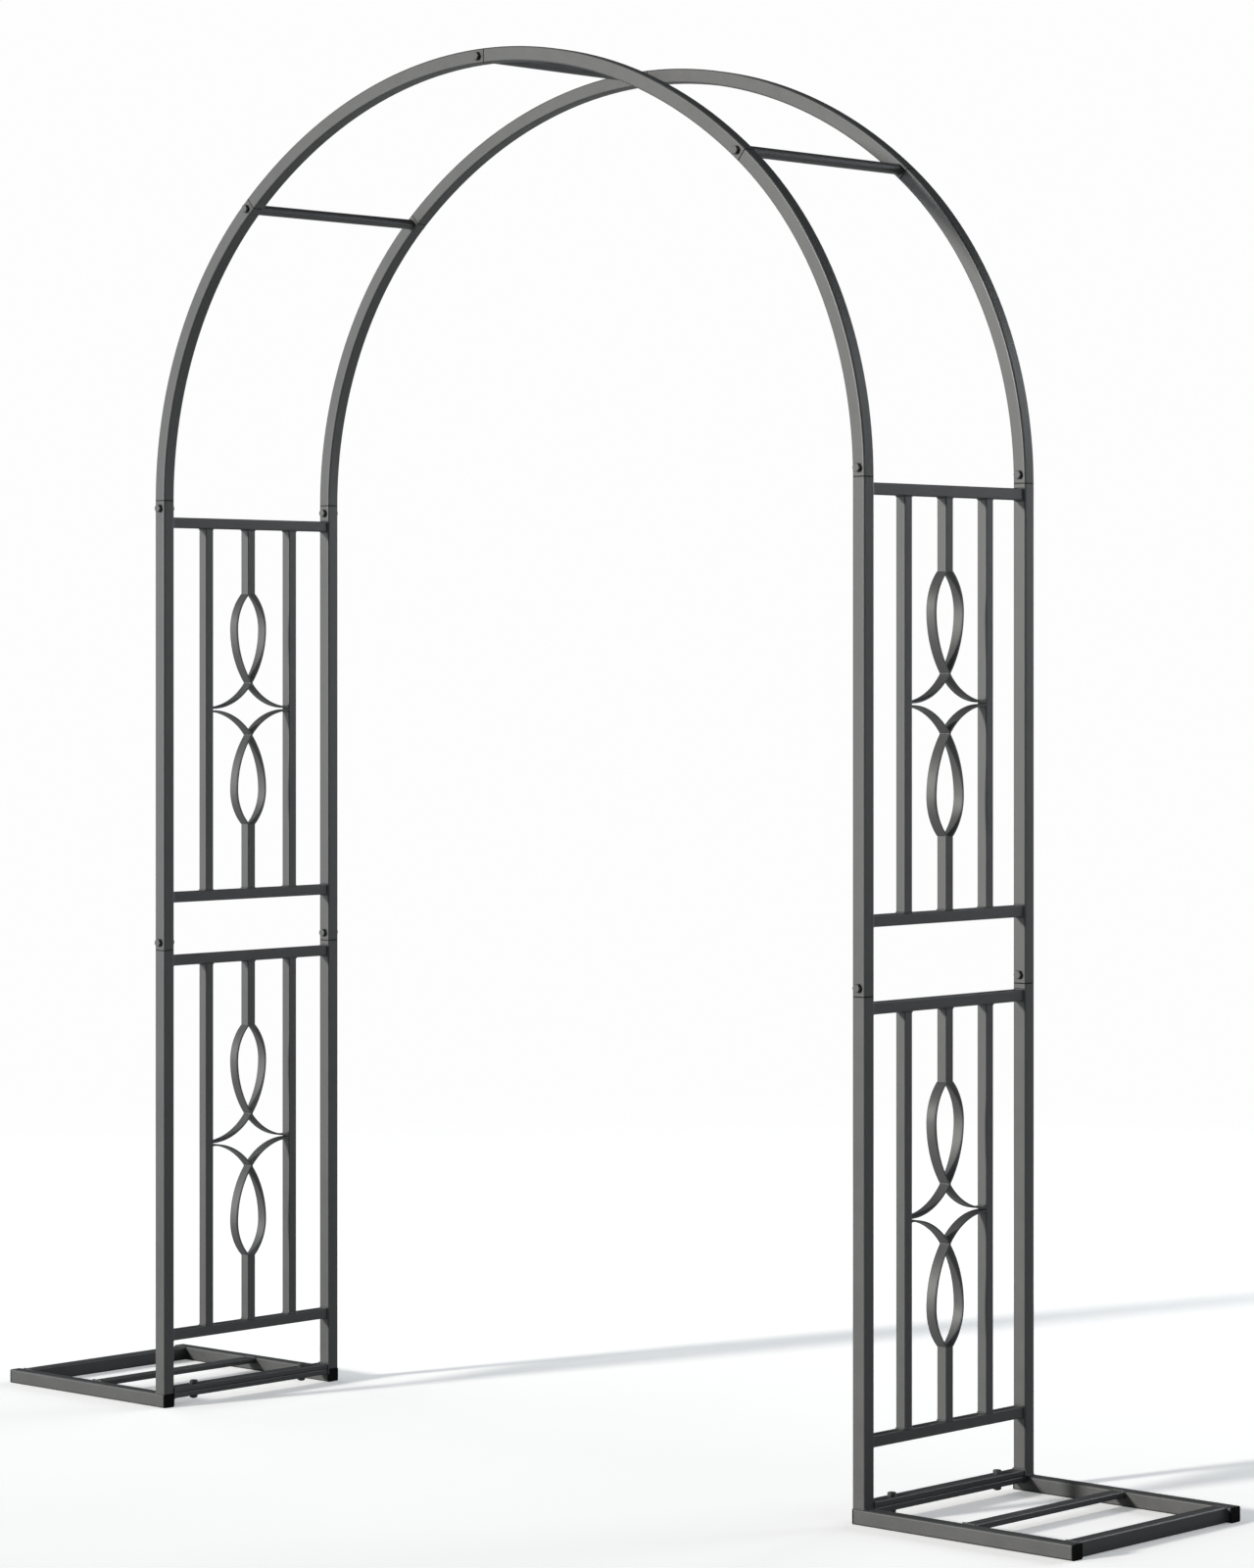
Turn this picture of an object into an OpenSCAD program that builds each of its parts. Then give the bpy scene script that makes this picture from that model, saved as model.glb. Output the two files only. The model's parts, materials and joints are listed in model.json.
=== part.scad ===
// Garden trellis arch in square steel tube: two side towers on base frames, joined by a bent arch.
// X runs across the walkway, the front is -Y, +Z is up. The origin is at the bottom centre.

/* [Overall] */
// Width across the outer faces of the posts
span_w = 1680; // [1200:10:2200]
// Depth across the front and back posts
depth = 436; // [320:2:600]
// Height of the joint between lower and upper panels
mid_joint_z = 831; // [700:1:1000]
// Height where the arch leaves the posts
spring_z = 1651; // [1500:1:1900]
// Rise of the arch above that height, outside
arch_rise = 749; // [600:1:900]
// Angle that each lower arch segment turns through
haunch_angle = 50; // [40:1:60]

/* [Tubes] */
// Outside size of the post, arch and runner tube
tube = 25; // [20:0.5:40]
// Wall of the post, arch and runner tube
wall = 1.5; // [1:0.1:3]
// Corner radius of the post tube
tube_r = 3; // [1:0.1:5]
// Outside size of the bar and rail tube
bar = 19; // [12:0.5:25]
// Wall of the bar and rail tube
bar_wall = 1.2; // [0.8:0.1:2]
// Corner radius of the bar tube
bar_r = 2; // [1:0.1:4]
// Outside diameter of the round crossbars between the arches
crossbar_d = 18; // [14:0.5:22]
// Height of the flat tube used low down in the base
flat_h = 10; // [8:0.5:20]

/* [Panels] */
// Height of a panel from its bottom rail to its top rail
panel_h = 702; // [600:1:740]
// Underside of the bottom rail in the lower panels
lower_panel_z = 120; // [60:1:200]
// Underside of the bottom rail in the left upper panel
left_upper_z = 918; // [880:1:960]
// Underside of the bottom rail in the right upper panel
right_upper_z = 941; // [880:1:960]
// Distance of the side bars from the middle of the panel
bar_y = 104; // [80:1:140]

/* [Scroll] */
// Thickness of the scroll strip
strip_t = 3; // [2:0.5:5]
// Half the height of the scroll, from star to stub
scroll_half = 213; // [160:1:260]
// Half the width of a leaf, to the middle of the strip
leaf_half = 35; // [25:1:50]
// Lean of the strips where they cross, from vertical
cross_angle = 38.5; // [30:0.5:45]
// Opening between the upper and lower strips at the side bars
star_gap = 2.5; // [0.5:0.1:6]

/* [Base] */
// How far the runners reach past the outer post faces
runner_reach = 410; // [200:5:600]
// Set-back of the outer rail from the runner ends
outer_setback = 8; // [0:1:40]
// Distance of the middle rail's centre from the origin
middle_rail_x = 1030; // [900:5:1150]
// Distance of the base bolts from the middle
base_bolt_y = 135; // [80:5:170]

/* [Joints] */
// Length of the swaged spigot inside each socket
spigot_l = 34; // [25:1:60]
// Side clearance between spigot and socket
spigot_gap = 0.3; // [0.1:0.05:0.6]
// Opening left at each joint line
joint_gap = 1.8; // [0.4:0.1:2.4]
// Distance of the bolt from the joint line
bolt_off = 15; // [10:1:25]
// Bolt diameter
bolt_d = 8; // [6:0.5:10]
// Bolt head size across its flats
head_af = 13; // [10:0.5:17]

/* [Hidden] */
left = -1;
right = 1;
front = -1;
back = 1;
charcoal = [0.23, 0.24, 0.25];
black = [0.05, 0.05, 0.05];
zinc = [0.3, 0.31, 0.32];

post_x = span_w / 2 - tube / 2;
post_y = depth / 2 - tube / 2;
rail_l = depth - 2 * tube;
cap_t = 2.5;
runner_start = span_w / 2 - tube + cap_t;
runner_end = span_w / 2 + runner_reach - cap_t;
outer_rail_x = span_w / 2 + runner_reach - outer_setback - tube / 2;
flat_z = tube - flat_h / 2;
bar_l = panel_h - 2 * bar;
panel_half = panel_h / 2;

// Arch of three centres: the crown arc is tangent to both haunch arcs
half_w = span_w / 2;
lean = tan(45 - haunch_angle / 2);
haunch_out = (arch_rise - half_w * lean) / (1 - lean);
crown_out = haunch_out + (half_w - haunch_out) / cos(haunch_angle);
haunch_r = haunch_out - tube / 2;
crown_r = crown_out - tube / 2;
haunch_cx = half_w - haunch_out;
crown_cz = spring_z - (crown_out - haunch_out) * sin(haunch_angle);
deg = 180 / PI;

// Swaged spigot, held by a ring that closes the tube end round it
spigot = tube - 2 * wall - 2 * spigot_gap;
spigot_r = tube_r - wall;
ring = tube - wall;
ring_r = tube_r - wall / 2;
ring_wall = (ring - spigot + wall) / 2;
ring_l = 4;
ring_inset = 0.5;
spigot_root = 3;
hole_gap = 0.6;
hole_d = bolt_d + hole_gap;

// Scroll strip, in the panel's own plane and measured from the middle of the star.
// The leaf radii are whole hundredths, so that the two arcs of a leaf meet without a step.
arm_z = (strip_t + star_gap) / 2;
arm_reach = bar_y - bar / 2;
arm_r = arm_reach / cos(cross_angle);
cross_z = arm_z + arm_r * (1 - sin(cross_angle));
leaf_r = round(100 * leaf_half / (1 - cos(cross_angle))) / 100;
leaf_z = cross_z + leaf_r * sin(cross_angle);
tip_inset = 2.5;
tip_half = bar / 2 - tip_inset;
tip_angle = 2 * atan((leaf_half - tip_half) / (scroll_half - leaf_z));
tip_r = round(100 * (scroll_half - leaf_z) / sin(tip_angle)) / 100;
tip_spare = 3;
weld_r = 3;
stub_l = bar_l / 2 - scroll_half;
stub_plate = 1.5;

// Bolts, nuts and caps. The thread shows past the nut, and the crossbar bolts stop short of the insert's end.
head_h = 6.5;
nut_h = 5.5;
thread_out = head_h - nut_h;
thread_gap = 0.2;
insert_spare = 2;
chamfer = 1;
insert_l = 16;
plug_l = 12;
plug_wall = 2;
fine = 256;
over = 1;
least_r = 0.5;
round_fn = 48;

// ---------- sections ----------

module rounded(w, h, r) {
  square([w, h - 2 * r], center = true);
  square([w - 2 * r, h], center = true);
  for (x = [-1, 1], y = [-1, 1])
    translate([x * (w / 2 - r), y * (h / 2 - r)]) circle(r = r, $fn = round_fn);
}

module section(w, h, r, t) {
  difference() {
    rounded(w, h, r);
    rounded(w - 2 * t, h - 2 * t, max(r - t, least_r));
  }
}

module tube_section() { section(tube, tube, tube_r, wall); }
module bar_section() { section(bar, bar, bar_r, bar_wall); }
module flat_section() { section(tube, flat_h, bar_r, bar_wall); }
module ring_section() { section(ring, ring, ring_r, ring_wall); }
module spigot_section() { section(spigot, spigot, spigot_r, wall); }

module along_x(l) { rotate([90, 0, 90]) linear_extrude(height = l, center = true) children(); }
module along_y(l) { rotate([90, 0, 0]) linear_extrude(height = l, center = true) children(); }
module along_z(l) { linear_extrude(height = l) children(); }

// Bends a section about a centre in the plane of the arch, from angle a to angle b
module arc(cx, cz, r, a, b) {
  translate([cx, 0, cz])
    rotate([90, 0, 0])
      rotate([0, 0, a])
        rotate_extrude(angle = b - a, $fn = fine)
          translate([r, 0]) children();
}

// The three arcs of the arch, taken between two angles
module left_arc(a, b) { arc(-haunch_cx, spring_z, haunch_r, a, b) children(); }
module crown_arc(a, b) { arc(0, crown_cz, crown_r, a, b) children(); }
module right_arc(a, b) { arc(haunch_cx, spring_z, haunch_r, a, b) children(); }

// Angle for a length measured along a haunch or along the crown
function haunch_turn(l) = l / haunch_r * deg;
function crown_turn(l) = l / crown_r * deg;

// Round rod along Y, centred on the origin
module rod(d, l) { rotate([90, 0, 0]) cylinder(d = d, h = l, center = true, $fn = round_fn); }

module cross_hole() { rod(hole_d, 2 * tube); }

// ---------- bolt places, as [x, z] ----------

function on_arc(cx, cz, r, a) = [cx + r * cos(a), cz + r * sin(a)];

mid_bolt_z = mid_joint_z + bolt_off;
left_spring_bolt = [-post_x, spring_z - bolt_off];
right_spring_bolt = on_arc(haunch_cx, spring_z, haunch_r, haunch_turn(bolt_off));
left_joint = 180 - haunch_angle;
right_joint = haunch_angle;
left_cross_turn = left_joint + haunch_turn(bolt_off);
top_cross_turn = 90 + crown_turn(bolt_off);
right_cross_turn = right_joint + crown_turn(bolt_off);
left_cross = on_arc(-haunch_cx, spring_z, haunch_r, left_cross_turn);
top_cross = on_arc(0, crown_cz, crown_r, top_cross_turn);
right_cross = on_arc(0, crown_cz, crown_r, right_cross_turn);

module at(p) { translate([p[0], 0, p[1]]) children(); }

// ---------- base frames ----------

module runner(side, face) {
  color(charcoal)
    translate([side * (runner_start + runner_end) / 2, face * post_y, tube / 2])
      along_x(runner_end - runner_start) tube_section();
}

module base_outer_rail(side) {
  color(charcoal)
    translate([side * outer_rail_x, 0, tube / 2]) along_y(rail_l) tube_section();
}

module base_middle_rail(side) {
  color(charcoal)
    translate([side * middle_rail_x, 0, flat_z]) along_y(rail_l) flat_section();
}

module flat_with_holes(side, z) {
  color(charcoal)
    difference() {
      translate([side * post_x, 0, z]) along_y(rail_l) flat_section();
      for (y = [-1, 1])
        translate([side * post_x, y * base_bolt_y, z])
          cylinder(d = hole_d, h = 2 * flat_h, center = true, $fn = round_fn);
    }
}

module base_inner_rail(side) { flat_with_holes(side, flat_z); }
module foot_rail(side) { flat_with_holes(side, flat_z + flat_h); }

// ---------- side panels ----------

// Stands on the runner and carries a spigot for the upper post
module lower_post(side, face) {
  color(charcoal)
    difference() {
      translate([side * post_x, face * post_y, 0]) {
        translate([0, 0, tube]) along_z(mid_joint_z - tube) tube_section();
        translate([0, 0, mid_joint_z - ring_l]) along_z(ring_l - ring_inset) ring_section();
        translate([0, 0, mid_joint_z - spigot_root]) along_z(spigot_root + spigot_l) spigot_section();
      }
      translate([side * post_x, face * post_y, mid_bolt_z]) cross_hole();
    }
}

module left_upper_post(face) {
  color(charcoal)
    difference() {
      translate([-post_x, face * post_y, mid_joint_z + joint_gap])
        along_z(spring_z - mid_joint_z - 2 * joint_gap) tube_section();
      translate([-post_x, face * post_y, mid_bolt_z]) cross_hole();
      translate([0, face * post_y, 0]) at(left_spring_bolt) cross_hole();
    }
}

module right_upper_post(face) {
  color(charcoal)
    difference() {
      translate([0, face * post_y, 0]) {
        translate([post_x, 0, mid_joint_z + joint_gap])
          along_z(spring_z - mid_joint_z - joint_gap) tube_section();
        translate([post_x, 0, spring_z - ring_l]) along_z(ring_l - ring_inset) ring_section();
        right_arc(-haunch_turn(spigot_root), haunch_turn(spigot_l)) spigot_section();
      }
      translate([post_x, face * post_y, mid_bolt_z]) cross_hole();
      translate([0, face * post_y, 0]) at(right_spring_bolt) cross_hole();
    }
}

module rail(side, z) {
  color(charcoal)
    translate([side * post_x, 0, z + bar / 2]) along_y(rail_l) bar_section();
}

module side_bar(side, face, z) {
  color(charcoal)
    translate([side * post_x, face * bar_y, z + bar]) along_z(bar_l) bar_section();
}

// Upper and lower halves of the centre bar, each closed where the scroll meets it
module stubs(side, z) {
  color(charcoal)
    translate([side * post_x, 0, z + panel_half])
      for (end = [-1, 1]) {
        translate([0, 0, end * (scroll_half + stub_l / 2) - stub_l / 2])
          along_z(stub_l) bar_section();
        translate([0, 0, end * (scroll_half + stub_plate / 2) - stub_plate / 2])
          along_z(stub_plate) rounded(bar, bar, bar_r);
      }
}

// Band of the strip's thickness on a circle of radius r, from angle a to angle b
module band(cy, cz, r, a, b) {
  reach = 2 * r;
  mid = (a + b) / 2;
  translate([cy, cz])
    intersection() {
      difference() {
        circle(r = r + strip_t / 2, $fn = fine);
        circle(r = r - strip_t / 2, $fn = fine);
      }
      polygon([[0, 0], reach * [cos(a), sin(a)], reach * [cos(mid), sin(mid)], reach * [cos(b), sin(b)]]);
    }
}

// One strip: from the stub end out round the leaf, through the crossing and on to the far bar
module strip() {
  band(arm_reach, arm_z + arm_r, arm_r, 180 + cross_angle, 270);
  translate([0, cross_z]) circle(r = weld_r, $fn = round_fn);
  band(leaf_r - leaf_half, leaf_z, leaf_r, 180, 180 + cross_angle);
  intersection() {
    band(tip_r - leaf_half, leaf_z, tip_r, 180 - tip_angle - tip_spare, 180);
    translate([-2 * leaf_half, leaf_z]) square([2 * leaf_half, scroll_half - leaf_z]);
  }
}

module scroll(side, z) {
  color(charcoal)
    translate([side * post_x, 0, z + panel_half])
      for (turn = [0, 180])
        rotate([turn, 0, 0])
          along_x(bar) {
            strip();
            mirror([1, 0]) strip();
          }
}

// ---------- arch ----------

// Cross holes at two bolt places, in the tube of one arch
module drilled(p, q) {
  difference() {
    children();
    at(p) cross_hole();
    at(q) cross_hole();
  }
}

// Stands on a straight spigot inside the left post and is a socket at its upper end
module left_haunch(face) {
  color(charcoal)
    translate([0, face * post_y, 0])
      drilled(left_spring_bolt, left_cross) {
        left_arc(left_joint + haunch_turn(joint_gap), 180) tube_section();
        left_arc(180 - haunch_turn(ring_l), 180 - haunch_turn(ring_inset)) ring_section();
        translate([-post_x, 0, spring_z - spigot_l])
          along_z(spigot_l + spigot_root) spigot_section();
      }
}

// Its spigot follows the haunch it goes into
module left_crown(face) {
  color(charcoal)
    translate([0, face * post_y, 0])
      drilled(left_cross, top_cross) {
        crown_arc(90 + crown_turn(joint_gap), left_joint) tube_section();
        crown_arc(left_joint - crown_turn(ring_l), left_joint - crown_turn(ring_inset))
          ring_section();
        left_arc(left_joint - haunch_turn(spigot_root), left_joint + haunch_turn(spigot_l))
          spigot_section();
      }
}

module right_crown(face) {
  color(charcoal)
    translate([0, face * post_y, 0])
      drilled(top_cross, right_cross) {
        crown_arc(right_joint + crown_turn(joint_gap), 90) tube_section();
        crown_arc(90 - crown_turn(ring_l), 90 - crown_turn(ring_inset)) ring_section();
        crown_arc(90 - crown_turn(spigot_root), 90 + crown_turn(spigot_l)) spigot_section();
      }
}

module right_haunch(face) {
  color(charcoal)
    translate([0, face * post_y, 0])
      drilled(right_cross, right_spring_bolt) {
        right_arc(haunch_turn(joint_gap), right_joint) tube_section();
        right_arc(right_joint - haunch_turn(ring_l), right_joint - haunch_turn(ring_inset))
          ring_section();
        crown_arc(right_joint - crown_turn(spigot_root), right_joint + crown_turn(spigot_l))
          spigot_section();
      }
}

// Round tube between the arches, with an insert for the bolt in each end
module crossbar(p) {
  color(charcoal)
    at(p)
      difference() {
        rod(crossbar_d, rail_l);
        rod(crossbar_d - 2 * bar_wall, rail_l - 2 * insert_l);
        rod(hole_d, 2 * depth);
      }
}

// ---------- hardware ----------

// Runner end cap: face at x = 0, plug towards +X
module cap() {
  translate([-cap_t / 2, 0, 0]) along_x(cap_t) rounded(tube, tube, tube_r);
  translate([plug_l / 2, 0, 0]) along_x(plug_l) section(spigot, spigot, spigot_r, plug_wall);
}

module end_caps() {
  color(black)
    for (side = [left, right], face = [front, back])
      translate([0, face * post_y, tube / 2])
        scale([side, 1, 1]) {
          translate([runner_start, 0, 0]) cap();
          translate([runner_end, 0, 0]) rotate([0, 0, 180]) cap();
        }
}

// Hexagon with its outer corners rounded off, standing on z = 0
module hexagon(h) {
  across = head_af / cos(30);
  intersection() {
    cylinder(d = across, h = h, $fn = 6);
    union() {
      cylinder(d = across, h = h - chamfer, $fn = round_fn);
      translate([0, 0, h - chamfer])
        cylinder(d1 = across, d2 = across - 3 * chamfer, h = chamfer, $fn = round_fn);
    }
  }
}

// Bolt with its head standing on z = 0 and its shank reaching down
module bolt(l) {
  hexagon(head_h);
  translate([0, 0, -l]) cylinder(d = bolt_d, h = l, $fn = round_fn);
}

module nut() {
  difference() {
    hexagon(nut_h);
    translate([0, 0, -over])
      cylinder(d = bolt_d + thread_gap, h = nut_h + 2 * over, $fn = round_fn);
  }
}

module through_bolts(p) {
  for (face = [front, back])
    translate([p[0], face * post_y - tube / 2, p[1]])
      rotate([90, 0, 0]) bolt(tube + nut_h + thread_out);
}

module through_nuts(p) {
  for (face = [front, back])
    translate([p[0], face * post_y + tube / 2, p[1]])
      rotate([-90, 0, 0]) nut();
}

// Bolts at a crossbar come in from both outer faces
module crossbar_bolts(p) {
  for (face = [front, back])
    translate([p[0], face * depth / 2, p[1]])
      rotate([-face * 90, 0, 0]) bolt(tube + insert_l - insert_spare);
}

module joint_bolts() {
  color(zinc) {
    for (side = [left, right]) through_bolts([side * post_x, mid_bolt_z]);
    through_bolts(left_spring_bolt);
    through_bolts(right_spring_bolt);
    crossbar_bolts(left_cross);
    crossbar_bolts(top_cross);
    crossbar_bolts(right_cross);
  }
}

module base_bolts() {
  color(zinc)
    for (side = [left, right], y = [-1, 1])
      translate([side * post_x, y * base_bolt_y, tube + flat_h])
        bolt(2 * flat_h + nut_h + thread_out);
}

module nuts() {
  color(zinc) {
    for (side = [left, right]) through_nuts([side * post_x, mid_bolt_z]);
    through_nuts(left_spring_bolt);
    through_nuts(right_spring_bolt);
    for (side = [left, right], y = [-1, 1])
      translate([side * post_x, y * base_bolt_y, tube - flat_h])
        rotate([180, 0, 0]) nut();
  }
}

// ---------- one module for each sub-part ----------

module left_base_front_runner() { runner(left, front); }
module left_base_back_runner() { runner(left, back); }
module left_base_outer_rail() { base_outer_rail(left); }
module left_base_middle_rail() { base_middle_rail(left); }
module left_base_inner_rail() { base_inner_rail(left); }
module right_base_front_runner() { runner(right, front); }
module right_base_back_runner() { runner(right, back); }
module right_base_outer_rail() { base_outer_rail(right); }
module right_base_middle_rail() { base_middle_rail(right); }
module right_base_inner_rail() { base_inner_rail(right); }

module left_lower_front_post() { lower_post(left, front); }
module left_lower_back_post() { lower_post(left, back); }
module left_lower_top_rail() { rail(left, lower_panel_z + panel_h - bar); }
module left_lower_bottom_rail() { rail(left, lower_panel_z); }
module left_lower_foot_rail() { foot_rail(left); }
module left_lower_front_bar() { side_bar(left, front, lower_panel_z); }
module left_lower_back_bar() { side_bar(left, back, lower_panel_z); }
module left_lower_stubs() { stubs(left, lower_panel_z); }
module left_lower_scroll() { scroll(left, lower_panel_z); }
module right_lower_front_post() { lower_post(right, front); }
module right_lower_back_post() { lower_post(right, back); }
module right_lower_top_rail() { rail(right, lower_panel_z + panel_h - bar); }
module right_lower_bottom_rail() { rail(right, lower_panel_z); }
module right_lower_foot_rail() { foot_rail(right); }
module right_lower_front_bar() { side_bar(right, front, lower_panel_z); }
module right_lower_back_bar() { side_bar(right, back, lower_panel_z); }
module right_lower_stubs() { stubs(right, lower_panel_z); }
module right_lower_scroll() { scroll(right, lower_panel_z); }

module left_upper_front_post() { left_upper_post(front); }
module left_upper_back_post() { left_upper_post(back); }
module left_upper_top_rail() { rail(left, left_upper_z + panel_h - bar); }
module left_upper_bottom_rail() { rail(left, left_upper_z); }
module left_upper_front_bar() { side_bar(left, front, left_upper_z); }
module left_upper_back_bar() { side_bar(left, back, left_upper_z); }
module left_upper_stubs() { stubs(left, left_upper_z); }
module left_upper_scroll() { scroll(left, left_upper_z); }
module right_upper_front_post() { right_upper_post(front); }
module right_upper_back_post() { right_upper_post(back); }
module right_upper_top_rail() { rail(right, right_upper_z + panel_h - bar); }
module right_upper_bottom_rail() { rail(right, right_upper_z); }
module right_upper_front_bar() { side_bar(right, front, right_upper_z); }
module right_upper_back_bar() { side_bar(right, back, right_upper_z); }
module right_upper_stubs() { stubs(right, right_upper_z); }
module right_upper_scroll() { scroll(right, right_upper_z); }

module front_arch_left_haunch() { left_haunch(front); }
module front_arch_left_crown() { left_crown(front); }
module front_arch_right_crown() { right_crown(front); }
module front_arch_right_haunch() { right_haunch(front); }
module back_arch_left_haunch() { left_haunch(back); }
module back_arch_left_crown() { left_crown(back); }
module back_arch_right_crown() { right_crown(back); }
module back_arch_right_haunch() { right_haunch(back); }
module left_crossbar() { crossbar(left_cross); }
module top_crossbar() { crossbar(top_cross); }
module right_crossbar() { crossbar(right_cross); }

left_base_front_runner();
left_base_back_runner();
left_base_outer_rail();
left_base_middle_rail();
left_base_inner_rail();
right_base_front_runner();
right_base_back_runner();
right_base_outer_rail();
right_base_middle_rail();
right_base_inner_rail();
left_lower_front_post();
left_lower_back_post();
left_lower_top_rail();
left_lower_bottom_rail();
left_lower_foot_rail();
left_lower_front_bar();
left_lower_back_bar();
left_lower_stubs();
left_lower_scroll();
right_lower_front_post();
right_lower_back_post();
right_lower_top_rail();
right_lower_bottom_rail();
right_lower_foot_rail();
right_lower_front_bar();
right_lower_back_bar();
right_lower_stubs();
right_lower_scroll();
left_upper_front_post();
left_upper_back_post();
left_upper_top_rail();
left_upper_bottom_rail();
left_upper_front_bar();
left_upper_back_bar();
left_upper_stubs();
left_upper_scroll();
right_upper_front_post();
right_upper_back_post();
right_upper_top_rail();
right_upper_bottom_rail();
right_upper_front_bar();
right_upper_back_bar();
right_upper_stubs();
right_upper_scroll();
front_arch_left_haunch();
front_arch_left_crown();
front_arch_right_crown();
front_arch_right_haunch();
back_arch_left_haunch();
back_arch_left_crown();
back_arch_right_crown();
back_arch_right_haunch();
left_crossbar();
top_crossbar();
right_crossbar();
end_caps();
joint_bolts();
base_bolts();
nuts();
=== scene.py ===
"""Garden trellis arch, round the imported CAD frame.

Gives each CAD node its finish, adds the weld beads and the joint rings, and sets floor, light and camera.
"""
import json
import math
import random
from typing import NamedTuple

import bmesh
import bpy
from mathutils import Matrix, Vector


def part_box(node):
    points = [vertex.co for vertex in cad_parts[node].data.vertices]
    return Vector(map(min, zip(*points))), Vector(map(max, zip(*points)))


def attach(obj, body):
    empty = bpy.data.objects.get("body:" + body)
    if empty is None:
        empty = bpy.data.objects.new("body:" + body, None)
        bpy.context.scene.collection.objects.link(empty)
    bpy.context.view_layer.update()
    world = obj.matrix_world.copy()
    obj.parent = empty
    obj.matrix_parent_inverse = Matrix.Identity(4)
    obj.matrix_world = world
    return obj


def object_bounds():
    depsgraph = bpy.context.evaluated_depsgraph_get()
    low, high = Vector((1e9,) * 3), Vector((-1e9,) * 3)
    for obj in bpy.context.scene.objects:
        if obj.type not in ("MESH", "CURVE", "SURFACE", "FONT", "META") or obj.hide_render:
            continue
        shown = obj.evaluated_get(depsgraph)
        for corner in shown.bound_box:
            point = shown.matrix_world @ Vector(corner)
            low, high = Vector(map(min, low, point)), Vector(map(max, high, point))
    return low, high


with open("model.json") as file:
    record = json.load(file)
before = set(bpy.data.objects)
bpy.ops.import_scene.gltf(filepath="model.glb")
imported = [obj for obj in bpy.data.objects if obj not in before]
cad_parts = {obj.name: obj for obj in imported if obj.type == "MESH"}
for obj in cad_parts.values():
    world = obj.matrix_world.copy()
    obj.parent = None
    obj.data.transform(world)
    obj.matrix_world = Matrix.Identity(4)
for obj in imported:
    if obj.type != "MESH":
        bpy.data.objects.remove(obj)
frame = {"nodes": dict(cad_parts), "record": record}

cad_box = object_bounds()
nodes = frame["nodes"]
slot_of = {s["node"]: s["material_slot"] for s in frame["record"]["subparts"]}
mm = 0.001

# ---------------------------------------------------------------- sizes

SIDES = {"left": -1, "right": 1}
LEVELS = ("lower", "upper")
FACES = ("front", "back")
X, Y, Z = Vector((1, 0, 0)), Vector((0, 1, 0)), Vector((0, 0, 1))


def width_of(node):
    lo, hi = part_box(node)
    return hi.x - lo.x


tube = width_of("right_lower_front_post")
bar = width_of("right_lower_front_bar")

# Sizes of the CAD parts that their boxes don't give
TUBE_CORNER = 3 * mm
BAR_CORNER = 2 * mm
JOINT_GAP = 1.8 * mm

# The scroll: bent strips that cross above and below a star
STRIP = 3 * mm
STAR_GAP = 2.5 * mm
CROSS_ANGLE = math.radians(38.5)
TIP_INSET = 2.5 * mm
ARM_TOP = STAR_GAP / 2 + STRIP
TIP = bar / 2 - TIP_INSET

# ---------------------------------------------------------------- shader node helpers

SHADER_SAMPLES = 6
LEAST_UPWARD = 0.2


class Pattern(NamedTuple):
    """Noise in patterns per metre, and the noise values where the pattern starts and where it is full."""
    scale: float
    detail: float
    low: float
    high: float
    rough: float = 0.5


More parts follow.
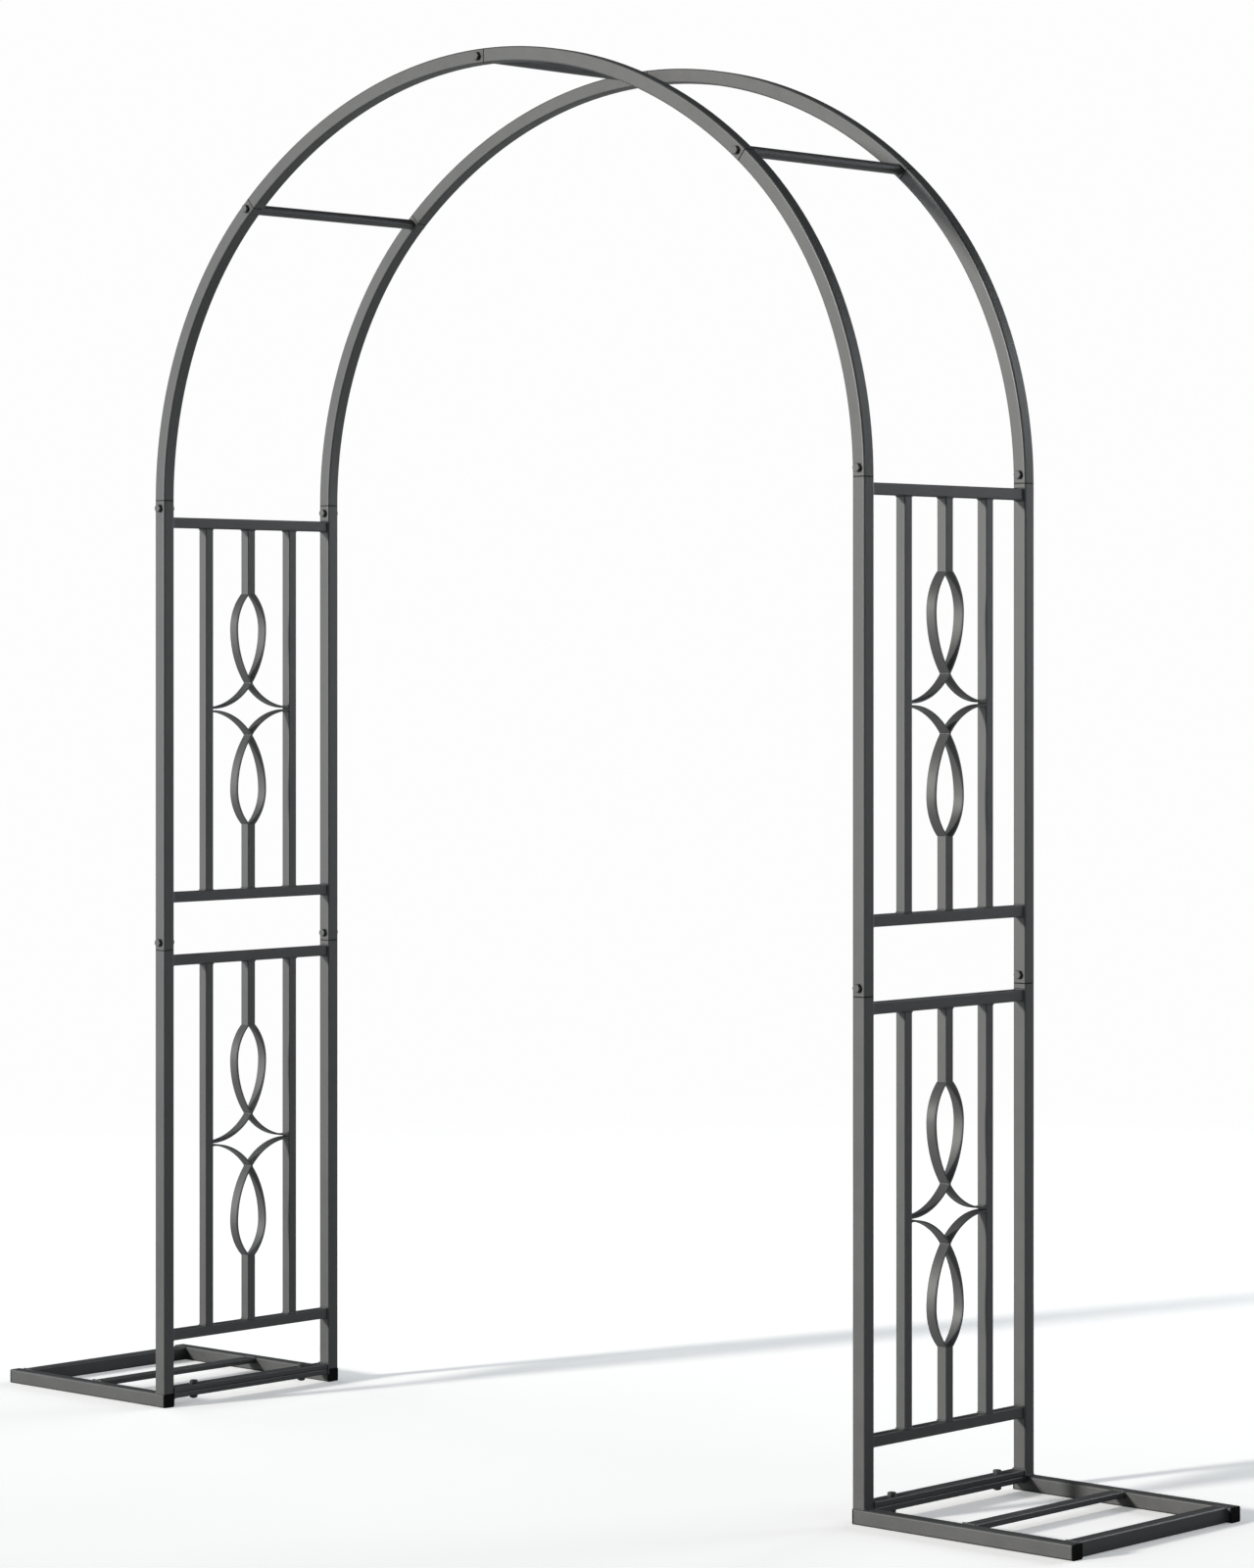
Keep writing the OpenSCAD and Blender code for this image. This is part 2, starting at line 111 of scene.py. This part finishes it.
class Nodes:
    """Short names for the shader nodes that the materials share."""

    def __init__(self, tree):
        self.tree = tree
        tree.nodes.clear()

    def add(self, kind, **values):
        node = self.tree.nodes.new(kind)
        for key, value in values.items():
            setattr(node, key, value)
        return node

    def link(self, a, b):
        self.tree.links.new(a, b)

    def place(self):
        return self.add("ShaderNodeTexCoord").outputs["Object"]

    def noise(self, scale, detail, rough=0.5):
        node = self.add("ShaderNodeTexNoise")
        self.link(self.place(), node.inputs["Vector"])
        node.inputs["Scale"].default_value = scale
        node.inputs["Detail"].default_value = detail
        node.inputs["Roughness"].default_value = rough
        return node.outputs["Fac"]

    def remap(self, value, a, b, c, d, kind="LINEAR"):
        """Turns a into c and b into d, and stays at c or d past them."""
        node = self.add("ShaderNodeMapRange", interpolation_type=kind)
        self.link(value, node.inputs["Value"])
        for name, number in zip(("From Min", "From Max", "To Min", "To Max"), (a, b, c, d)):
            node.inputs[name].default_value = number
        return node.outputs["Result"]

    def spots(self, pattern, a, b):
        """A pattern that goes from a, where it starts, to b, where it is full."""
        noise = self.noise(pattern.scale, pattern.detail, pattern.rough)
        return self.remap(noise, pattern.low, pattern.high, a, b)

    def math(self, operation, a, b):
        node = self.add("ShaderNodeMath", operation=operation)
        for socket, value in zip(node.inputs, (a, b)):
            if isinstance(value, (int, float)):
                socket.default_value = value
            else:
                self.link(value, socket)
        return node.outputs["Value"]

    def mix(self, fac, a, b):
        """Mixes two colours."""
        node = self.add("ShaderNodeMix", data_type="RGBA")
        self.link(fac, node.inputs["Factor"])
        for name, value in (("A", a), ("B", b)):
            socket = [s for s in node.inputs if s.name == name and s.type == "RGBA"][0]
            if isinstance(value, tuple):
                socket.default_value = value
            else:
                self.link(value, socket)
        return [s for s in node.outputs if s.type == "RGBA"][0]

    def blend(self, fac, a, b):
        """Mixes two shaders."""
        node = self.add("ShaderNodeMixShader")
        self.link(fac, node.inputs["Fac"])
        self.link(a, node.inputs[1])
        self.link(b, node.inputs[2])
        return node.outputs["Shader"]

    def bump(self, height, strength, distance, before=None):
        node = self.add("ShaderNodeBump")
        self.link(height, node.inputs["Height"])
        node.inputs["Strength"].default_value = strength
        node.inputs["Distance"].default_value = distance
        if before is not None:
            self.link(before, node.inputs["Normal"])
        return node.outputs["Normal"]

    def normal(self):
        return self.add("ShaderNodeNewGeometry").outputs["Normal"]

    def z_of(self, vector):
        split = self.add("ShaderNodeSeparateXYZ")
        self.link(vector, split.inputs["Vector"])
        return split.outputs["Z"]

    def upward(self):
        """1 where the surface faces straight up, 0 where it is upright or faces down."""
        return self.remap(self.z_of(self.normal()), LEAST_UPWARD, 1.0, 0.0, 1.0)

    def height(self):
        return self.z_of(self.place())

    def edges(self, radius, sharpest):
        """1 along outer edges, 0 on flat faces, from how far a rounded normal leans."""
        rounded = self.add("ShaderNodeBevel", samples=SHADER_SAMPLES)
        rounded.inputs["Radius"].default_value = radius
        dot = self.add("ShaderNodeVectorMath", operation="DOT_PRODUCT")
        self.link(rounded.outputs["Normal"], dot.inputs[0])
        self.link(self.normal(), dot.inputs[1])
        return self.remap(dot.outputs["Value"], 1.0, sharpest, 0.0, 1.0)

    def crevice_shade_mask(self, distance, open_sky, shut_sky):
        """Mask for painted shade in crevices, read from ambient occlusion: 0 where at least the open share of
        the sky is free within a distance, 1 below the shut share.
        """
        shade = self.add("ShaderNodeAmbientOcclusion", samples=SHADER_SAMPLES)
        shade.inputs["Distance"].default_value = distance
        return self.remap(shade.outputs["AO"], open_sky, shut_sky, 0.0, 1.0)


def grey(value, warm=0.0):
    return (value * (1 + warm), value, value * (1 - warm), 1.0)


def new_material(name):
    material = bpy.data.materials.new(name)
    material.use_nodes = True
    n = Nodes(material.node_tree)
    shader = n.add("ShaderNodeBsdfPrincipled")
    out = n.add("ShaderNodeOutputMaterial")
    n.link(shader.outputs["BSDF"], out.inputs["Surface"])
    return material, n, shader


# ---------------------------------------------------------------- metal and plastic

MOTTLE = Pattern(5.0, 3.0, 0.35, 0.65)
MOTTLE_DARK = 0.93
MOTTLE_LIGHT = 1.08
DARK_TINT = -0.035
LIGHT_TINT = -0.025
GRAIN = Pattern(1300.0, 1.0, 0.4, 0.6)
GRAIN_SHARE = 0.35
GRAIN_TONE = 1.35

# Paler edges, where the coat is rubbed
RUBBED = Pattern(90.0, 4.0, 0.48, 0.68, 0.7)
RUBBED_RADIUS = 1.2 * mm
RUBBED_LEAN = 0.93
RUBBED_SHARE = 0.5
RUBBED_TONE = 2.4
RUBBED_TINT = 0.01

# Dust that settles on upward faces, and specks splashed up from the ground
DUST_COLOUR = (0.16, 0.145, 0.125, 1.0)
DUST = Pattern(28.0, 5.0, 0.4, 0.75, 0.65)
DUST_SHARE = 0.07
DUST_MATT = 0.4
SPECKS = Pattern(240.0, 2.0, 0.6, 0.72)
SPECKS_HEIGHT = 0.16
SPECKS_SHARE = 0.12

# Painted shade in crevices, from ambient occlusion: how far it looks round, and the shares of open sky where
# it starts and is full
TUBE_PAINTED_SHADE = (4 * mm, 0.68, 0.42)
# The bolts get painted shade that reaches further, which darkens the sides of their heads
BOLT_PAINTED_SHADE = (14 * mm, 0.95, 0.6)
PAINTED_SHADE_COLOUR = grey(0.004)
PAINTED_SHADE_SHARE = 0.85

SHEEN = Pattern(34.0, 3.0, 0.3, 0.7)
SHEEN_LESS = 0.04
SHEEN_MORE = 0.05
PEEL = (420.0, 1.5)
PEEL_DEPTH = 0.25 * mm
FINE_PEEL = (1500.0, 1.0)
FINE_PEEL_DEPTH = 0.1 * mm
FINE_PEEL_SHARE = 0.6


def powder_coat(name, base, rough, peel, painted_shade_setup=TUBE_PAINTED_SHADE):
    """Charcoal satin powder coat: fine orange peel, faint mottling, dust, rubbed edges, and painted shade in
    crevices.
    """
    material, n, shader = new_material(name)
    dark = grey(base * MOTTLE_DARK, DARK_TINT)
    light = grey(base * MOTTLE_LIGHT, LIGHT_TINT)
    colour = n.mix(n.spots(MOTTLE, 0.0, 1.0), dark, light)
    colour = n.mix(n.spots(GRAIN, 0.0, GRAIN_SHARE), colour, grey(base * GRAIN_TONE))
    worn = n.math("MULTIPLY", n.edges(RUBBED_RADIUS, RUBBED_LEAN), n.spots(RUBBED, 0.0, RUBBED_SHARE))
    colour = n.mix(worn, colour, grey(base * RUBBED_TONE, RUBBED_TINT))
    settled = n.math("MULTIPLY", n.upward(), n.spots(DUST, 0.0, DUST_SHARE))
    low = n.remap(n.height(), 0.0, SPECKS_HEIGHT, SPECKS_SHARE, 0.0)
    splashed = n.math("MULTIPLY", low, n.spots(SPECKS, 0.0, 1.0))
    dust = n.math("MAXIMUM", settled, splashed)
    colour = n.mix(dust, colour, DUST_COLOUR)
    # Painted shade: crevices and corners darken towards near black where the surroundings block the sky
    painted_shade = n.math("MULTIPLY", n.crevice_shade_mask(*painted_shade_setup), PAINTED_SHADE_SHARE)
    n.link(n.mix(painted_shade, colour, PAINTED_SHADE_COLOUR), shader.inputs["Base Color"])
    gloss = n.spots(SHEEN, rough - SHEEN_LESS, rough + SHEEN_MORE)
    n.link(n.math("ADD", gloss, n.math("MULTIPLY", dust, DUST_MATT)), shader.inputs["Roughness"])
    waves = n.bump(n.noise(*PEEL), peel, PEEL_DEPTH)
    fine = n.bump(n.noise(*FINE_PEEL), peel * FINE_PEEL_SHARE, FINE_PEEL_DEPTH, waves)
    n.link(fine, shader.inputs["Normal"])
    return material


CAP_CLOUD = Pattern(60.0, 3.0, 0.3, 0.7)
CAP_DARK = grey(0.0015)
CAP_LIGHT = grey(0.003)
CAP_SPECULAR = 0.06
SCUFFS = Pattern(160.0, 3.0, 0.45, 0.7)
SCUFF_RADIUS = 1.0 * mm
SCUFF_LEAN = 0.95
SCUFF_SHARE = 0.5
SCUFF_COLOUR = grey(0.03)
CAP_DUST = Pattern(45.0, 4.0, 0.35, 0.75)
CAP_DUST_LEAST = 0.05
CAP_DUST_MOST = 0.3
CAP_SHEEN = Pattern(110.0, 2.0, 0.3, 0.7)
CAP_ROUGH_LEAST = 0.48
CAP_ROUGH_MOST = 0.62
SPARK_GRAIN = (1800.0, 2.0)
SPARK_STRENGTH = 0.25
SPARK_DEPTH = 0.08 * mm


def cap_plastic():
    """Black moulded plastic with a fine spark-eroded grain and scuffed edges."""
    material, n, shader = new_material("cap_plastic")
    colour = n.mix(n.spots(CAP_CLOUD, 0.0, 1.0), CAP_DARK, CAP_LIGHT)
    scuff = n.math("MULTIPLY", n.edges(SCUFF_RADIUS, SCUFF_LEAN), n.spots(SCUFFS, 0.0, SCUFF_SHARE))
    colour = n.mix(scuff, colour, SCUFF_COLOUR)
    dust = n.math("MULTIPLY", n.upward(), n.spots(CAP_DUST, CAP_DUST_LEAST, CAP_DUST_MOST))
    n.link(n.mix(dust, colour, DUST_COLOUR), shader.inputs["Base Color"])
    n.link(n.spots(CAP_SHEEN, CAP_ROUGH_LEAST, CAP_ROUGH_MOST), shader.inputs["Roughness"])
    shader.inputs["Specular IOR Level"].default_value = CAP_SPECULAR
    n.link(n.bump(n.noise(*SPARK_GRAIN), SPARK_STRENGTH, SPARK_DEPTH), shader.inputs["Normal"])
    return material


# Base tone, roughness and orange peel of each coat; the fasteners also take a deeper painted shade in
# crevices
FINISH = {
    "powder_coat": powder_coat("powder_coat", 0.045, 0.42, 0.22),
    "fasteners": powder_coat("fasteners", 0.050, 0.36, 0.08, BOLT_PAINTED_SHADE),
    "cap_plastic": cap_plastic(),
}
weld_finish = powder_coat("weld_coat", 0.042, 0.46, 0.30)

# ---------------------------------------------------------------- CAD nodes: softened edges and finishes

EDGE_RADIUS = {"powder_coat": 0.35 * mm, "fasteners": 0.4 * mm, "cap_plastic": 0.8 * mm}
SHARP_ANGLE = math.radians(40)
JOIN_DISTANCE = 0.002 * mm
FLAT_FACE_WEIGHT = 80

# These nodes keep their exact edges, because rounded ends would open notches in the joints
CRISP = ("_arch_", "_post", "crossbar")


def soften(obj, width):
    """Joins the mesh, rounds its sharp edges and evens the shading."""
    weld = obj.modifiers.new("join", "WELD")
    weld.merge_threshold = JOIN_DISTANCE
    bevel = obj.modifiers.new("edges", "BEVEL")
    bevel.width = width
    bevel.segments = 2
    bevel.limit_method = "ANGLE"
    bevel.angle_limit = SHARP_ANGLE
    bevel.use_clamp_overlap = True
    even = obj.modifiers.new("shading", "WEIGHTED_NORMAL")
    even.keep_sharp = True
    even.weight = FLAT_FACE_WEIGHT


for name, obj in nodes.items():
    slot = slot_of[name]
    obj.data.materials.clear()
    obj.data.materials.append(FINISH[slot])
    if not any(part in name for part in CRISP):
        soften(obj, EDGE_RADIUS[slot])

# ---------------------------------------------------------------- paths and meshes of the added pieces

CORNER_STEPS = 3


def loop(middle, u, v, half_u, half_v, corner):
    """Rounded rectangle round a point, in the plane of the directions u and v."""
    points = []
    for su, sv, start in ((1, 1, 0), (-1, 1, 90), (-1, -1, 180), (1, -1, 270)):
        for step in range(CORNER_STEPS + 1):
            turn = math.radians(start + step * 90 / CORNER_STEPS)
            points.append(middle + u * (su * (half_u - corner) + corner * math.cos(turn))
                          + v * (sv * (half_v - corner) + corner * math.sin(turn)))
    return points


def finish_mesh(name, bm, material, smooth):
    """Turns a mesh in the making into a piece of the object."""
    mesh = bpy.data.meshes.new(name)
    bmesh.ops.recalc_face_normals(bm, faces=bm.faces)
    bm.to_mesh(mesh)
    bm.free()
    mesh.polygons.foreach_set("use_smooth", [smooth] * len(mesh.polygons))
    piece = bpy.data.objects.new(name, mesh)
    bpy.context.scene.collection.objects.link(piece)
    piece.data.materials.append(material)
    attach(piece, "root")


# ---------------------------------------------------------------- weld beads

BEAD_SIDES = 8
BEAD_STEP = 0.65 * mm
RIPPLE = 2.6 * mm
RIPPLE_DEPTH = 0.17
BEAD_UNEVEN = 0.04
SKEW = Vector((0.31, 0.52, 0.79))  # a direction that no bead runs along

# Size of an open end, and what each step inwards adds to it
END_SIZE = 0.4
END_GROWTH = 0.2

# Radii of the beads
RAIL_BEAD = 1.7 * mm
BAR_BEAD = 1.4 * mm
STRIP_BEAD = 1.5 * mm
TIP_BEAD = 1.1 * mm

# How far a bead's middle line lies inside the face or end that it follows
SINK = 0.5 * mm
BAR_SINK = 0.4 * mm

# Beads across the scroll strips: above the arms, beside the crossings, and short of the strip's edges
ARM_RISE = 0.3 * mm
CROSS_SIDE = 2.2 * mm
STRIP_END = 1.2 * mm

# Corners of the beads on outer rails and feet, and how far from floor and inner face they start
RAIL_CORNER = 2 * mm
FOOT_CORNER = 3 * mm
FLOOR_CLEAR = 3 * mm
FOOT_INNER = 5 * mm


def resample(points, closed):
    """Points about one step apart along the same path."""
    path = points + [points[0]] if closed else points
    out = []
    for a, b in zip(path, path[1:]):
        count = max(1, round((b - a).length / BEAD_STEP))
        out += [a.lerp(b, i / count) for i in range(count)]
    return out if closed else out + [path[-1]]


def bead(bm, points, radius, rng, closed=False):
    """A rippled weld bead along a path. Open ends taper off."""
    line = resample(points, closed)
    count = len(line)
    phase = rng.uniform(0, math.tau)
    rings = []
    for i, p in enumerate(line):
        before = line[i - 1] if closed or i else line[0]
        after = line[(i + 1) % count] if closed or i < count - 1 else line[-1]
        along = (after - before).normalized()
        side = along.cross(SKEW).normalized()
        other = along.cross(side)
        wave = math.sin(i * BEAD_STEP / RIPPLE * math.tau + phase)
        size = radius * (1 + RIPPLE_DEPTH * wave + rng.uniform(-BEAD_UNEVEN, BEAD_UNEVEN))
        if not closed:
            size *= min(1.0, END_SIZE + END_GROWTH * min(i, count - 1 - i))
        ring = []
        for k in range(BEAD_SIDES):
            turn = math.tau * k / BEAD_SIDES
            ring.append(bm.verts.new(p + (side * math.cos(turn) + other * math.sin(turn)) * size))
        rings.append(ring)
    pairs = list(zip(rings, rings[1:])) + ([(rings[-1], rings[0])] if closed else [])
    for a, b in pairs:
        for k in range(BEAD_SIDES):
            j = (k + 1) % BEAD_SIDES
            bm.faces.new((a[k], a[j], b[j], b[k]))
    if not closed:
        bm.faces.new(rings[0][::-1])
        bm.faces.new(rings[-1])


def bar_end_welds(bm, rng, node, z, up):
    """Round the end of an upright bar that stands against a rail of its own width."""
    lo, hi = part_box(node)
    middle = Vector(((lo.x + hi.x) / 2, (lo.y + hi.y) / 2, z + up * SINK))
    half = bar / 2 - SINK
    bead(bm, loop(middle, X, Y, half, half + 2 * SINK, BAR_CORNER), BAR_BEAD, rng, True)


def rail_end_welds(bm, rng, node):
    """Round both ends of a rail that butts against posts or runners."""
    lo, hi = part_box(node)
    half_w, half_h = (hi.x - lo.x) / 2, (hi.z - lo.z) / 2
    for y, inward in ((lo.y, 1), (hi.y, -1)):
        middle = Vector(((lo.x + hi.x) / 2, y + inward * SINK, (lo.z + hi.z) / 2))
        bead(bm, loop(middle, X, Z, half_w, half_h, BAR_CORNER), RAIL_BEAD, rng, True)


def line_across(x, y, z):
    """Two points across a strip of the scroll, from near one edge to near the other."""
    half = bar / 2 - STRIP_END
    return [Vector((x - half, y, z)), Vector((x + half, y, z))]


def scroll_welds(bm, rng, node):
    """Where the strips meet the side bars, the stubs and each other."""
    lo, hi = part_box(node)
    x, zc = (lo.x + hi.x) / 2, (lo.z + hi.z) / 2
    arm = ARM_TOP + ARM_RISE
    for y, inward in ((lo.y, 1), (hi.y, -1)):
        for up in (-1, 1):
            bead(bm, line_across(x, y + inward * BAR_SINK, zc + up * arm), STRIP_BEAD, rng)
    for z, inward in ((lo.z, 1), (hi.z, -1)):
        for out in (-1, 1):
            bead(bm, line_across(x, out * (TIP + STRIP / 2), z + inward * SINK), TIP_BEAD, rng)
    reach = (hi.y - lo.y) / 2
    cross = (STAR_GAP + STRIP) / 2 + reach * (1 - math.sin(CROSS_ANGLE)) / math.cos(CROSS_ANGLE)
    for up in (-1, 1):
        for out in (-1, 1):
            bead(bm, line_across(x, out * CROSS_SIDE, zc + up * cross), TIP_BEAD, rng)


def panel_welds(side, level):
    rng = random.Random(f"{side}{level}")
    bm = bmesh.new()
    prefix = f"{side}_{level}"
    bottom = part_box(f"{prefix}_bottom_rail")[1].z
    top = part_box(f"{prefix}_top_rail")[0].z
    for part in ("front_bar", "back_bar", "stubs"):
        bar_end_welds(bm, rng, f"{prefix}_{part}", bottom, 1)
        bar_end_welds(bm, rng, f"{prefix}_{part}", top, -1)
    for part in ("bottom_rail", "top_rail"):
        rail_end_welds(bm, rng, f"{prefix}_{part}")
    scroll_welds(bm, rng, f"{prefix}_scroll")
    finish_mesh(f"welds_{prefix}", bm, weld_finish, True)


def outer_rail_welds(bm, rng, node):
    """Up one side of each end, over the top and down the other side, clear of the floor."""
    lo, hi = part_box(node)
    start, shoulder, top = lo.z + FLOOR_CLEAR, hi.z - RAIL_CORNER, hi.z - SINK
    for y, inward in ((lo.y, 1), (hi.y, -1)):
        arch = [Vector((x, y + inward * SINK, z)) for x, z in (
            (lo.x, start), (lo.x, shoulder), (lo.x + RAIL_CORNER, top),
            (hi.x - RAIL_CORNER, top), (hi.x, shoulder), (hi.x, start))]
        bead(bm, arch, RAIL_BEAD, rng)


def foot_welds(bm, rng, node, side):
    """Round the three open sides of a post's foot on its runner."""
    lo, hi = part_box(node)
    outer, inner = (hi.x, lo.x) if side == "right" else (lo.x, hi.x)
    start = inner + SIDES[side] * FOOT_INNER
    corner = outer - SIDES[side] * FOOT_CORNER
    foot = [Vector((x, y, lo.z + SINK)) for x, y in (
        (start, lo.y + SINK), (corner, lo.y + SINK), (outer, lo.y + FOOT_CORNER),
        (outer, hi.y - FOOT_CORNER), (corner, hi.y - SINK), (start, hi.y - SINK))]
    bead(bm, foot, RAIL_BEAD, rng)


def base_welds(side):
    rng = random.Random(side)
    bm = bmesh.new()
    for part in ("base_inner_rail", "base_middle_rail", "lower_foot_rail"):
        rail_end_welds(bm, rng, f"{side}_{part}")
    outer_rail_welds(bm, rng, f"{side}_base_outer_rail")
    for face in FACES:
        foot_welds(bm, rng, f"{side}_lower_{face}_post", side)
    finish_mesh(f"welds_{side}_base", bm, weld_finish, True)


for side in SIDES:
    base_welds(side)
    for level in LEVELS:
        panel_welds(side, level)

# ---------------------------------------------------------------- black rings in the joints of the posts

RING_INSET = 0.1 * mm
RING_HOLE = 21.5 * mm


def joint_ring(bm, x, y, low):
    """Square ring that fills the gap between two tubes, round the spigot."""
    outer_half, hole_half = tube / 2 - RING_INSET, RING_HOLE / 2
    corner = TUBE_CORNER - RING_INSET
    hoops = []
    for half, z, turn in ((outer_half, low, corner), (outer_half, low + JOINT_GAP, corner),
                          (hole_half, low + JOINT_GAP, corner / 2), (hole_half, low, corner / 2)):
        hoops.append([bm.verts.new(p) for p in loop(Vector((x, y, z)), X, Y, half, half, turn)])
    for a, b in zip(hoops, hoops[1:] + hoops[:1]):
        for i in range(len(a)):
            j = (i + 1) % len(a)
            bm.faces.new((a[i], a[j], b[j], b[i]))


def joint_rings(side):
    """In both joints of each upper post. On the right, the upper gap lies above the end of the post."""
    bm = bmesh.new()
    for face in FACES:
        lo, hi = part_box(f"{side}_upper_{face}_post")
        spring = hi.z if side == "left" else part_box(f"{face}_arch_right_haunch")[0].z - JOINT_GAP
        x = lo.x + tube / 2 if side == "left" else hi.x - tube / 2
        for low in (lo.z - JOINT_GAP, spring):
            joint_ring(bm, x, (lo.y + hi.y) / 2, low)
    finish_mesh(f"joint_rings_{side}", bm, FINISH["cap_plastic"], False)


for side in SIDES:
    joint_rings(side)

# ---------------------------------------------------------------- floor

WHITE = 0.985
FLOOR_RADIUS = 60.0
FLOOR_SIDES = 96
FLOOR_ALBEDO = 0.5
FLOOR_ROUGH = 0.9
FLOOR_SEEN = 1.31
FLOOR_TONE = Pattern(0.9, 4.0, 0.3, 0.7)
FLOOR_TONE_LEAST = 0.97
FLOOR_NEAR = 2.0
FLOOR_FAR = 6.0
FLOOR_LEAST_WHITE = 0.22


def floor_material():
    """Pale matt floor. The camera sees it brighter than the metal does, and it fades to white further out."""
    material, n, shader = new_material("pale_floor")
    shader.inputs["Base Color"].default_value = grey(FLOOR_ALBEDO)
    shader.inputs["Roughness"].default_value = FLOOR_ROUGH
    seen = n.add("ShaderNodeBsdfDiffuse")
    scale = n.add("ShaderNodeVectorMath", operation="SCALE")
    scale.inputs[0].default_value = (FLOOR_SEEN, FLOOR_SEEN, FLOOR_SEEN)
    n.link(n.spots(FLOOR_TONE, FLOOR_TONE_LEAST, 1.0), scale.inputs["Scale"])
    n.link(scale.outputs["Vector"], seen.inputs["Color"])
    away = n.add("ShaderNodeVectorMath", operation="LENGTH")
    n.link(n.place(), away.inputs[0])
    fade = n.remap(away.outputs["Value"], FLOOR_NEAR, FLOOR_FAR, FLOOR_LEAST_WHITE, 1.0, "SMOOTHSTEP")
    light = n.add("ShaderNodeEmission")
    light.inputs["Color"].default_value = grey(1.0)
    light.inputs["Strength"].default_value = WHITE
    bright = n.blend(fade, seen.outputs["BSDF"], light.outputs["Emission"])
    camera_ray = n.add("ShaderNodeLightPath").outputs["Is Camera Ray"]
    out = [x for x in n.tree.nodes if x.type == "OUTPUT_MATERIAL"][0]
    n.link(n.blend(camera_ray, shader.outputs["BSDF"], bright), out.inputs["Surface"])
    return material


bm = bmesh.new()
bmesh.ops.create_circle(bm, cap_ends=True, radius=FLOOR_RADIUS, segments=FLOOR_SIDES)
floor_mesh = bpy.data.meshes.new("floor")
bm.to_mesh(floor_mesh)
bm.free()
floor = bpy.data.objects.new("floor", floor_mesh)
floor.location.z = cad_box[0][2]
floor.data.materials.append(floor_material())
bpy.context.scene.collection.objects.link(floor)

# ---------------------------------------------------------------- light

FILL_COLOUR = (0.86, 0.93, 1.0, 1.0)
FILL_LOW = 0.02
FILL_HIGH = 0.14
FILL_START = 0.1
FILL_FULL = 0.8
SOFTBOX_COLOUR = (0.93, 0.97, 1.0)
KEY_COLOUR = (1.0, 0.97, 0.92)
KEY_DIRECTION = (-0.27, -0.96, 0.235)
KEY_STRENGTH = 4.8
KEY_ANGLE = math.radians(5)
KEY_DISTANCE = 10.0

# Name, place, width, height and radiance of each softbox
SOFTBOXES = (
    ("front_panel", (-4.3, -4.9, 1.6), 6.5, 4.0, 1.8),
    ("left_panel", (-7.5, 0.3, 2.5), 5.0, 4.0, 2.5),
    ("right_panel", (7.5, -0.4, 1.3), 4.0, 2.6, 1.7),
    ("back_panel", (1.5, 7.5, 3.0), 6.0, 4.0, 5.0),
)


def fill_light():
    """White behind the object for the camera, and a dim light that grows upwards for everything else."""
    world = bpy.data.worlds.new("studio")
    bpy.context.scene.world = world
    world.use_nodes = True
    w = Nodes(world.node_tree)
    seen = w.add("ShaderNodeBackground")
    seen.inputs["Color"].default_value = grey(1.0)
    seen.inputs["Strength"].default_value = WHITE
    lit = w.add("ShaderNodeBackground")
    lit.inputs["Color"].default_value = FILL_COLOUR
    rise = w.z_of(w.add("ShaderNodeTexCoord").outputs["Generated"])
    strength = w.remap(rise, FILL_START, FILL_FULL, FILL_LOW, FILL_HIGH, "SMOOTHSTEP")
    w.link(strength, lit.inputs["Strength"])
    sky = w.add("ShaderNodeOutputWorld")
    camera_ray = w.add("ShaderNodeLightPath").outputs["Is Camera Ray"]
    w.link(w.blend(camera_ray, lit.outputs["Background"], seen.outputs["Background"]), sky.inputs["Surface"])


def place_light(light, place, target):
    obj = bpy.data.objects.new(light.name, light)
    obj.location = place
    obj.rotation_euler = (Vector(target) - Vector(place)).to_track_quat("-Z", "Y").to_euler()
    bpy.context.scene.collection.objects.link(obj)


def key_light():
    """Soft-edged far light. Its direction points from the object to the light."""
    light = bpy.data.lights.new("key", "SUN")
    light.color = KEY_COLOUR
    light.energy = KEY_STRENGTH
    light.angle = KEY_ANGLE
    place_light(light, Vector(KEY_DIRECTION) * KEY_DISTANCE, (0, 0, 0))


def softbox(name, place, width, height, radiance):
    """Panel of light that faces the middle of the object."""
    light = bpy.data.lights.new(name, "AREA")
    light.color = SOFTBOX_COLOUR
    light.shape = "RECTANGLE"
    light.size = width
    light.size_y = height
    light.energy = radiance * math.pi * width * height
    place_light(light, place, (0, 0, cad_box[1][2] / 2))


fill_light()
key_light()
for box in SOFTBOXES:
    softbox(*box)

# ---------------------------------------------------------------- camera

CAMERA_PLACE = (5.4717, -5.7725, 1.3788)
CAMERA_YAW = 0.7458
CAMERA_LENS = 105.45
CAMERA_SENSOR = 36.0
CAMERA_SHIFT_X = -0.0026
CAMERA_SHIFT_Y = -0.0856
CAMERA_CLIP = 200.0

camera = bpy.data.cameras.new("camera")
camera.sensor_fit = "VERTICAL"
camera.sensor_height = CAMERA_SENSOR
camera.lens = CAMERA_LENS
camera.shift_x = CAMERA_SHIFT_X
camera.shift_y = CAMERA_SHIFT_Y
camera.clip_end = CAMERA_CLIP
camera.dof.use_dof = False
viewer = bpy.data.objects.new("camera", camera)
viewer.location = CAMERA_PLACE
viewer.rotation_euler = (math.pi / 2, 0.0, CAMERA_YAW)
bpy.context.scene.collection.objects.link(viewer)
bpy.context.scene.camera = viewer
bpy.context.scene.view_settings.view_transform = "Standard"
